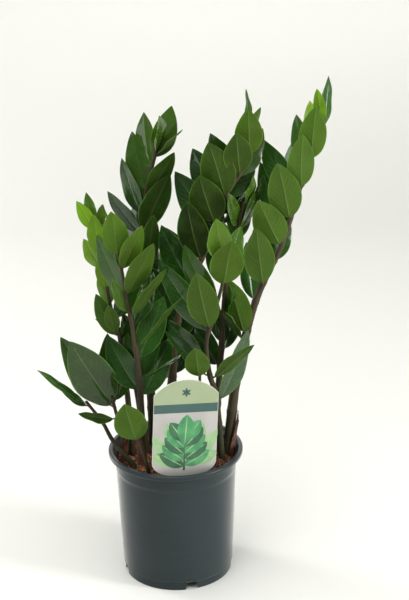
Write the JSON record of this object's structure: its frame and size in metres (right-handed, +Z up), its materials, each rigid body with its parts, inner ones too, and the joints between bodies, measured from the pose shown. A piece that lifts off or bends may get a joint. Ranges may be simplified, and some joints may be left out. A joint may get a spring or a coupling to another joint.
{
  "type": "potted zz plant",
  "caption": "Potted ZZ plant: arching stems of paired glossy leaflets growing in coir in a plain round nursery pot, with a stick-in plant label.",
  "frame": {"origin": "on the surface that the pot stands on, under the middle of the whole object's box", "axes": "+Z up along the pot's axis, -Y toward the front where the label stands, +X to the right seen from the front"},
  "size_m": [0.2774, 0.1384, 0.4867],
  "materials": {
    "pot_plastic": "dark grey-green moulded plastic, satin",
    "coir_soil": "loose reddish-brown coir and potting mix, rough",
    "label_card": "printed plastic plant label, semi-gloss",
    "stem_skin": "smooth fleshy stem, olive brown, satin",
    "leaflet_green": "waxy leaf, glossy above and matte below",
    "sheath_brown": "dry papery scale, matte"
  },
  "bodies": {
    "root": {"back_left_stem": "stem_skin", "back_left_stem_leaflet_1": "leaflet_green", "back_left_stem_leaflet_2": "leaflet_green", "back_left_stem_leaflet_3": "leaflet_green", "back_left_stem_leaflet_4": "leaflet_green", "centre_stem": "stem_skin", "centre_stem_leaflet_1": "leaflet_green", "centre_stem_leaflet_2": "leaflet_green", "centre_stem_leaflet_3": "leaflet_green", "centre_stem_leaflet_4": "leaflet_green", "centre_stem_sheath": "sheath_brown", "far_left_stem": "stem_skin", "far_left_stem_leaflet_1": "leaflet_green", "far_left_stem_leaflet_2": "leaflet_green", "far_left_stem_leaflet_3": "leaflet_green", "far_left_stem_leaflet_4": "leaflet_green", "front_stem": "stem_skin", "front_stem_leaflet_1": "leaflet_green", "front_stem_leaflet_2": "leaflet_green", "front_stem_leaflet_3": "leaflet_green", "front_stem_leaflet_4": "leaflet_green", "leaning_stem": "stem_skin", "leaning_stem_leaflet_1": "leaflet_green", "leaning_stem_leaflet_2": "leaflet_green", "left_back_stem": "stem_skin", "left_back_stem_leaflet_1": "leaflet_green", "left_back_stem_leaflet_2": "leaflet_green", "left_back_stem_leaflet_3": "leaflet_green", "left_front_stem": "stem_skin", "left_front_stem_leaflet_1": "leaflet_green", "left_front_stem_leaflet_2": "leaflet_green", "left_front_stem_leaflet_3": "leaflet_green", "left_front_stem_leaflet_4": "leaflet_green", "left_front_stem_sheath": "sheath_brown", "middle_stem": "stem_skin", "middle_stem_leaflet_1": "leaflet_green", "middle_stem_leaflet_2": "leaflet_green", "middle_stem_leaflet_3": "leaflet_green", "middle_stem_leaflet_4": "leaflet_green", "middle_stem_sheath": "sheath_brown", "plant_label": "label_card", "pot": "pot_plastic", "right_stem": "stem_skin", "right_stem_leaflet_1": "leaflet_green", "right_stem_leaflet_2": "leaflet_green", "right_stem_leaflet_3": "leaflet_green", "right_stem_leaflet_4": "leaflet_green", "right_stem_sheath": "sheath_brown", "short_left_stem": "stem_skin", "short_left_stem_leaflet_1": "leaflet_green", "short_left_stem_leaflet_2": "leaflet_green", "short_left_stem_leaflet_3": "leaflet_green", "short_left_stem_leaflet_4": "leaflet_green", "short_left_stem_leaflet_5": "leaflet_green", "short_left_stem_sheath": "sheath_brown", "small_front_stem": "stem_skin", "small_front_stem_leaflet_1": "leaflet_green", "small_middle_stem": "stem_skin", "small_middle_stem_leaflet_1": "leaflet_green", "soil": "coir_soil"}
  },
  "joints": []
}
